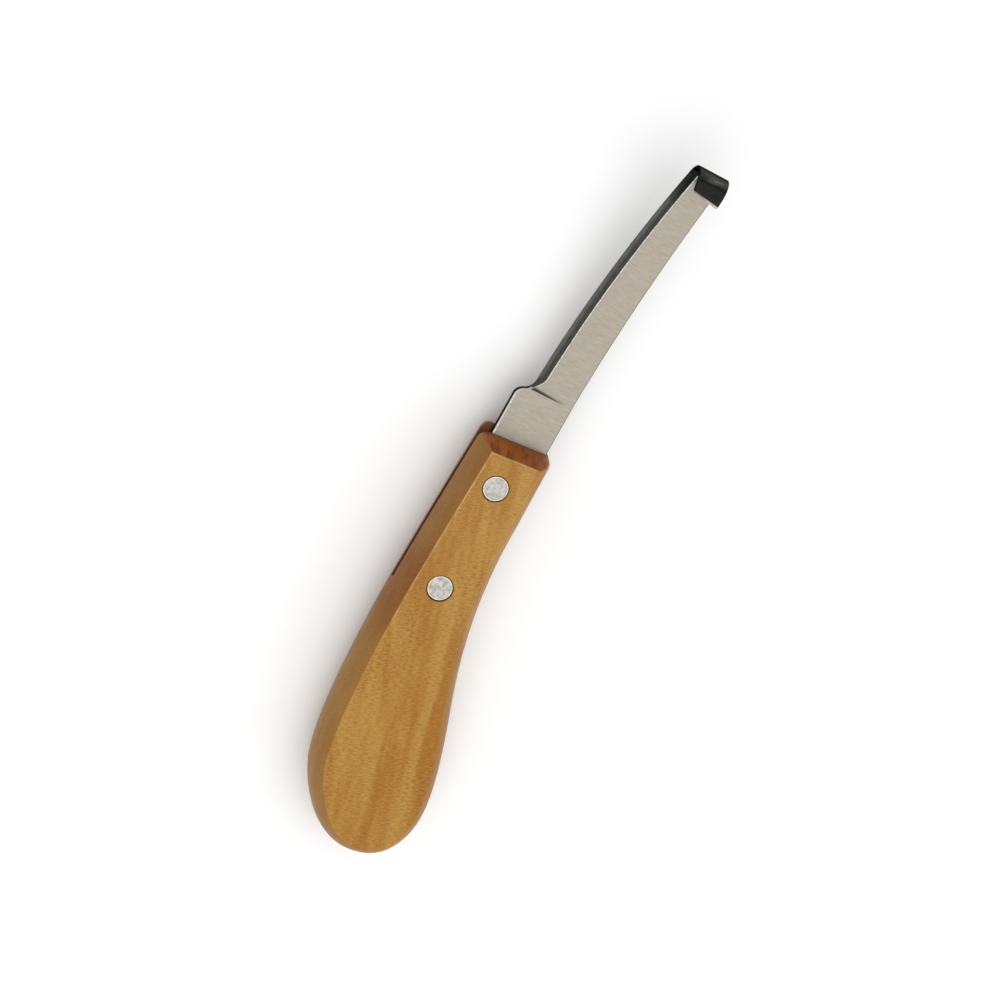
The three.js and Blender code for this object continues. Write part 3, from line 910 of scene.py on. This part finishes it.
def finish(u, j):
    """How the steel is finished between points j and j + 1 of the section at u. POLISHED also paints the
    dark reflection of the narrow sides and corners, and BRIGHT paints the highlight along the broken edges.
    """
    bottom = ARC_STEPS
    side = 2 * ARC_STEPS + 1
    upper_corner = side + 1
    bevel = upper_corner + ARC_STEPS
    ridge = bevel + BEVEL_STEPS
    spine_corner = ridge + FACE_STEPS + 1
    sharp = bevel_share(u)
    if u > blade_end() - LIP_BEVEL and j <= side:
        return BRIGHT
    if u > HOOK_START + HOOK_POLISH:
        return POLISHED
    if j == bottom:
        return GROUND
    if bottom < j <= side or j >= spine_corner or j < bottom // 2:
        return POLISHED
    if j < bevel:
        if sharp > BEVEL_GROWN:
            return POLISHED
        if j < bottom:
            return GROUND
        return POLISHED if j < upper_corner + ARC_STEPS // 2 else BRIGHT
    if sharp <= BEVEL_BEGUN or j > ridge:
        return GROUND
    return POLISHED if j < ridge else BRIGHT


def blade_stations():
    """Where the blade's rings stand: each stretch has its start and how many rings it takes."""
    end = blade_end()
    marks = (
        (TANG_END_X, 14), (TANG_END_X + TANG_END_RADIUS, 20), (MOUTH_X, 10), (SHOULDER_X, 20),
        (PLUNGE_X, 10), (PLUNGE_X + PLUNGE_LENGTH, 24), (PLUNGE_X + BEVEL_RUN, 76), (HOOK_START, 48),
        (HOOK_START + hook_length(), 6), (end - LIP_BEVEL, 4), (end, 0),
    )
    stations = []
    for (start, steps), (stop, _) in zip(marks, marks[1:]):
        bunching = 2 if start == PLUNGE_X else 1  # rings bunch where the grind steps down
        stations += [start + (stop - start) * (i / steps) ** bunching for i in range(steps)]
    return stations + [end]


def blade_ring(u):
    """A ring of the flat blank. The lip's end is cut askew, so the last rings lean."""
    on_lip = clamp((u - HOOK_START - hook_length()) / settings("knife_blade").lip_length)
    spine, edge = spine_y(u), edge_y(u)
    ring = []
    for y, height in blade_section(u):
        skew = LIP_SKEW * on_lip * (y - spine) / (edge - spine)
        ring.append(Vector((u - skew, y, HALF + height)))
    return ring


def blade_blank():
    """The blade before it is bent: flat, with its bevel, grind and rivet holes."""
    hole = settings("knife_handle").hole_radius
    deep = 2 * MM
    drills = [turned_cutter(x, 0.0, [(hole, HALF - deep), (hole, HALF + deep)]) for x in (REAR_X, FRONT_X)]
    stations = blade_stations()
    body = loft([blade_ring(u) for u in stations])
    layer = body.faces.layers.int.new("finish")
    body.faces.ensure_lookup_table()
    count = len(blade_section(stations[0]))
    for i, (low, high) in enumerate(zip(stations, stations[1:])):
        for j in range(count):
            body.faces[i * count + j][layer] = finish((low + high) / 2, j)
    blank = cut("blade_blank", body, drills)
    mesh = blank.data
    bpy.data.objects.remove(blank)
    return mesh


def bend_tree():
    """Bends a flat blank along X: straight, then a long bow, then a hook, then straight."""
    sizes = (
        "Bow start", "Bow length", "Bow radius", "Hook radius", "Hook length", "Middle height",
        "Crease angle",
    )
    finishes = ("Ground material", "Polished material", "Bright material")
    t = Shape("Bend blade", {"Geometry": ("Geometry",), "Float": sizes, "Material": finishes})
    mesh, start, length_of_bow, bow_radius, hook_radius, length_of_hook, middle, crease = t.given[:8]
    x, y, z = t.parts(t.out("GeometryNodeInputPosition"))
    height = t.minus(z, middle)
    straight = t.math("MINIMUM", x, start)
    after = t.minus(x, straight)
    bowed = t.math("MINIMUM", after, length_of_bow)
    rest = t.minus(after, bowed)
    hooked = t.math("MINIMUM", rest, length_of_hook)
    lip = t.minus(rest, hooked)
    bow = t.math("DIVIDE", bowed, bow_radius)
    turn = t.plus(bow, t.math("DIVIDE", hooked, hook_radius))
    sin_bow, cos_bow = t.math("SINE", bow), t.math("COSINE", bow)
    sin_turn, cos_turn = t.math("SINE", turn), t.math("COSINE", turn)
    run = t.times_plus(sin_bow, bow_radius, straight)
    run = t.times_plus(t.minus(sin_turn, sin_bow), hook_radius, run)
    run = t.times_plus(lip, cos_turn, run)
    run = t.minus(run, t.times(height, sin_turn))
    rise = t.times(t.minus(1.0, cos_bow), bow_radius)
    rise = t.times_plus(t.minus(cos_bow, cos_turn), hook_radius, rise)
    rise = t.times_plus(lip, sin_turn, rise)
    rise = t.times_plus(height, cos_turn, rise)
    place = t.xyz(run, y, t.plus(rise, middle))
    mesh = t.out("GeometryNodeSetPosition", {"Geometry": mesh, "Position": place})
    mesh = t.out("GeometryNodeRealizeInstances", {"Geometry": t.creased(mesh, crease)})
    stored = t.node("GeometryNodeInputNamedAttribute", {"Name": "finish"}, data_type="INT")
    for index, material in enumerate(t.given[8:11]):
        values = {2: stored.outputs["Attribute"], 3: index}
        chosen = t.out("FunctionNodeCompare", values, data_type="INT", operation="EQUAL")
        values = {"Geometry": mesh, "Selection": chosen, "Material": material}
        mesh = t.out("GeometryNodeSetMaterial", values)
    return t.end(mesh)


class KNIFE_OT_add_blade(bpy.types.Operator):
    """Add the blade: tang, ground face, bevel and rolled hook in one piece of steel"""

    bl_idname = "knife.add_blade"
    bl_label = "Add Blade"

    def execute(self, context):
        look = settings("knife_blade")
        values = {
            "Bow start": BOW_START,
            "Bow length": BOW_LENGTH,
            "Bow radius": look.bow_radius,
            "Hook radius": look.hook_inner_radius + look.tip_thickness / 2,
            "Hook length": hook_length(),
            "Middle height": HALF,
            "Crease angle": SMOOTH_ANGLE,
            "Ground material": ground_steel_material(),
            "Polished material": polished_steel_material(),
            "Bright material": bright_steel_material(),
        }
        piece = with_tree("steel_blade", blade_blank(), bend_tree(), values)
        declare(piece, STEEL_SLOT, "blade")
        return {"FINISHED"}


# ---------- Rivets ----------

DISH = (  # the bowl of a head: share of its radius, and share of its depth there
    (0.25, 0.99), (0.5, 0.94), (0.7, 0.84), (0.85, 0.66), (0.94, 0.38), (1.0, 0.1),
)
ROUND_STEPS = 4  # of the softened outer edge
WELD = 0.001 * MM  # points closer than this are joined


def rivet_tree():
    """Turns one half of a rivet from its profile. The head's outer face lies at height 0 and the shank
    rises; a bore radius of 0 makes a solid shank."""
    sizes = (
        "Head radius", "Head thickness", "Rim width", "Dish depth", "Edge round", "Shank radius",
        "Shank height", "Bore radius", "Bore floor", "Crease angle",
    )
    others = {"Int": ("Segments",), "Vector": ("Place",), "Rotation": ("Turn",), "Material": ("Material",)}
    t = Shape("Turn rivet", {"Float": sizes, **others})
    head, thick, rim, dish, soft, shank, top, bore, bore_floor, crease = t.given[:10]
    segments, place, flip, material = t.given[10:14]
    bowl = t.minus(head, rim)
    profile = [(0.0, dish)]
    for share, depth in DISH:
        profile.append((t.times(bowl, share), t.times(dish, depth)))
    profile.append((t.times_plus(rim, 0.25, bowl), 0.0))
    for i in range(ROUND_STEPS + 1):
        turn = i / ROUND_STEPS * math.pi / 2
        across = t.times_plus(soft, math.sin(turn) - 1, head)
        profile.append((across, t.times(soft, 1 - math.cos(turn))))
    chamfer = t.times(soft, 0.7)
    profile += [
        (head, t.minus(thick, chamfer)),
        (t.minus(head, chamfer), thick),
        (shank, thick),
        (shank, t.minus(top, chamfer)),
        (t.minus(shank, chamfer), top),
        (bore, top),
        (bore, bore_floor),
        (0.0, bore_floor),
    ]
    count = len(profile)
    sheet = {"Size X": 1.0, "Size Y": 1.0, "Vertices X": count, "Vertices Y": t.plus(segments, 1.0)}
    mesh = t.out("GeometryNodeMeshGrid", sheet)
    x, y, _ = t.parts(t.out("GeometryNodeInputPosition"))
    step = t.times(t.plus(x, 0.5), float(count - 1))
    switch = t.node("GeometryNodeIndexSwitch", data_type="VECTOR")
    while len(switch.index_switch_items) < count:
        switch.index_switch_items.new()
    t.plug(switch.inputs[0], t.math("ROUND", step))
    for i, (radius, height) in enumerate(profile):
        t.plug(switch.inputs[i + 1], t.xyz(radius, 0.0, height))
    radius, _, height = t.parts(switch.outputs[0])
    turn = t.times(y, -2 * math.pi)
    spot = t.xyz(t.times(radius, t.math("COSINE", turn)), t.times(radius, t.math("SINE", turn)), height)
    mesh = t.out("GeometryNodeSetPosition", {"Geometry": mesh, "Position": spot})
    mesh = t.out("GeometryNodeMergeByDistance", {"Geometry": mesh, "Distance": WELD})
    mesh = t.creased(mesh, crease)
    mesh = t.out("GeometryNodeTransform", {"Geometry": mesh, "Translation": place, "Rotation": flip})
    mesh = t.out("GeometryNodeRealizeInstances", {"Geometry": mesh})
    return t.end(t.out("GeometryNodeSetMaterial", {"Geometry": mesh, "Material": material}))


def rivet_half(name, node, tree, material, x, upper):
    """A stud, head up in the upper face, or a socket, head down in the lower face."""
    look = settings("knife_rivets")
    values = {
        "Head radius": HEAD_RADIUS,
        "Head thickness": look.head_thickness,
        "Rim width": look.rim_width,
        "Dish depth": look.dish_depth,
        "Edge round": look.edge_round,
        "Shank radius": look.pin_radius if upper else look.tube_radius,
        "Shank height": size_of(node).z,
        "Bore radius": 0.0 if upper else look.tube_bore,
        "Bore floor": size_of(node).z if upper else look.head_thickness,
        "Crease angle": SMOOTH_ANGLE,
        "Segments": look.segments,
        "Place": (x, 0.0, HANDLE_THICKNESS - HEAD_DEPTH if upper else HEAD_DEPTH),
        "Turn": (math.pi if upper else 0.0, 0.0, 0.0),
        "Material": material,
    }
    piece = with_tree(name, bpy.data.meshes.new(name + "_host"), tree, values)
    declare(piece, RIVET_SLOT, node)


class KNIFE_OT_add_rivets(bpy.types.Operator):
    """Add the two rivets, each a stud from the upper face and a socket from the lower face"""

    bl_idname = "knife.add_rivets"
    bl_label = "Add Rivets"

    def execute(self, context):
        tree = rivet_tree()
        material = rivet_material()
        for place, x in (("rear", REAR_X), ("front", FRONT_X)):
            rivet_half(f"{place}_stud", f"{place}_rivet_stud", tree, material, x, True)
            rivet_half(f"{place}_socket", f"{place}_rivet_socket", tree, material, x, False)
        return {"FINISHED"}


# ---------- Stage ----------

def view_axis(azimuth, elevation):
    """Unit vector from the knife towards the camera; azimuth 0 looks along +Y."""
    flat = math.cos(elevation)
    return Vector((math.sin(azimuth) * flat, -math.cos(azimuth) * flat, math.sin(elevation)))


def add_camera():
    look = settings("knife_stage")
    back = view_axis(look.camera_azimuth, look.camera_elevation)
    along = Vector((1, 0, 0))
    along = (along - back * along.dot(back)).normalized()
    across = back.cross(along)
    right = along * math.sin(look.camera_roll) - across * math.cos(look.camera_roll)
    up = along * math.cos(look.camera_roll) + across * math.sin(look.camera_roll)
    data = bpy.data.cameras.new("camera")
    data.lens = look.lens
    data.clip_start = 0.01
    camera = new_object("camera", data)
    turn = Matrix((right, up, back)).transposed().to_4x4()
    camera.matrix_world = Matrix.Translation(Vector(look.camera_aim) + back * look.camera_distance) @ turn
    bpy.context.scene.camera = camera


def add_softbox(name, azimuth, elevation, distance, width, height, power):
    """A rectangular lamp aimed at the knife; the two angles are in degrees."""
    data = bpy.data.lights.new(name, "AREA")
    data.shape = "RECTANGLE"
    data.size = width
    data.size_y = height
    data.energy = power
    lamp = new_object(name, data)
    back = view_axis(math.radians(azimuth), math.radians(elevation))
    lamp.location = back * distance
    lamp.rotation_euler = back.to_track_quat("Z", "Y").to_euler()


def add_floor():
    half = 12.0
    mesh = bpy.data.meshes.new("floor")
    corners = [(-half, -half, 0), (half, -half, 0), (half, half, 0), (-half, half, 0)]
    mesh.from_pydata(corners, [], [(0, 1, 2, 3)])
    mesh.materials.append(floor_material())
    new_object("floor", mesh)


def add_world():
    world = bpy.data.worlds.new("studio")
    world.use_nodes = True
    background = world.node_tree.nodes["Background"]
    background.inputs["Color"].default_value = (1.0, 1.0, 1.0, 1.0)
    background.inputs["Strength"].default_value = 0.8
    bpy.context.scene.world = world


class KNIFE_OT_add_stage(bpy.types.Operator):
    """Add the pale floor, the soft studio light and the camera"""

    bl_idname = "knife.add_stage"
    bl_label = "Add Stage"

    def execute(self, context):
        add_floor()
        add_world()
        add_softbox("key", azimuth=305, elevation=66, distance=1.2, width=2.2, height=2.2, power=12.5)
        add_softbox("strip", azimuth=72, elevation=20, distance=1.2, width=0.1, height=0.9, power=0.55)
        add_camera()
        bpy.context.scene.view_settings.view_transform = "Standard"
        return {"FINISHED"}


# ---------- Add-on ----------

class KNIFE_PT_panel(bpy.types.Panel):
    """Panel that lists the operators and their settings"""

    bl_idname = "KNIFE_PT_panel"
    bl_label = "Hoof Knife"
    bl_space_type = "VIEW_3D"
    bl_region_type = "UI"
    bl_category = "Hoof Knife"

    def draw(self, context):
        for operator, name, _ in STEPS:
            self.layout.operator(operator.bl_idname)
            box = self.layout.box()
            look = getattr(context.scene, name)
            for setting in look.__annotations__:
                box.prop(look, setting)


STEPS = (
    (KNIFE_OT_add_handle, "knife_handle", KnifeHandleSettings),
    (KNIFE_OT_add_blade, "knife_blade", KnifeBladeSettings),
    (KNIFE_OT_add_rivets, "knife_rivets", KnifeRivetSettings),
    (KNIFE_OT_add_stage, "knife_stage", KnifeStageSettings),
)
CLASSES = (*(group for _, _, group in STEPS), *(operator for operator, _, _ in STEPS), KNIFE_PT_panel)


def register():
    for cls in CLASSES:
        bpy.utils.register_class(cls)
    for _, name, group in STEPS:
        setattr(bpy.types.Scene, name, PointerProperty(type=group))


def unregister():
    for _, name, _ in STEPS:
        delattr(bpy.types.Scene, name)
    for cls in reversed(CLASSES):
        bpy.utils.unregister_class(cls)


def main():
    register()
    bpy.ops.knife.add_handle()
    bpy.ops.knife.add_blade()
    bpy.ops.knife.add_rivets()
    bpy.ops.knife.add_stage()


if __name__ == "__main__":
    main()
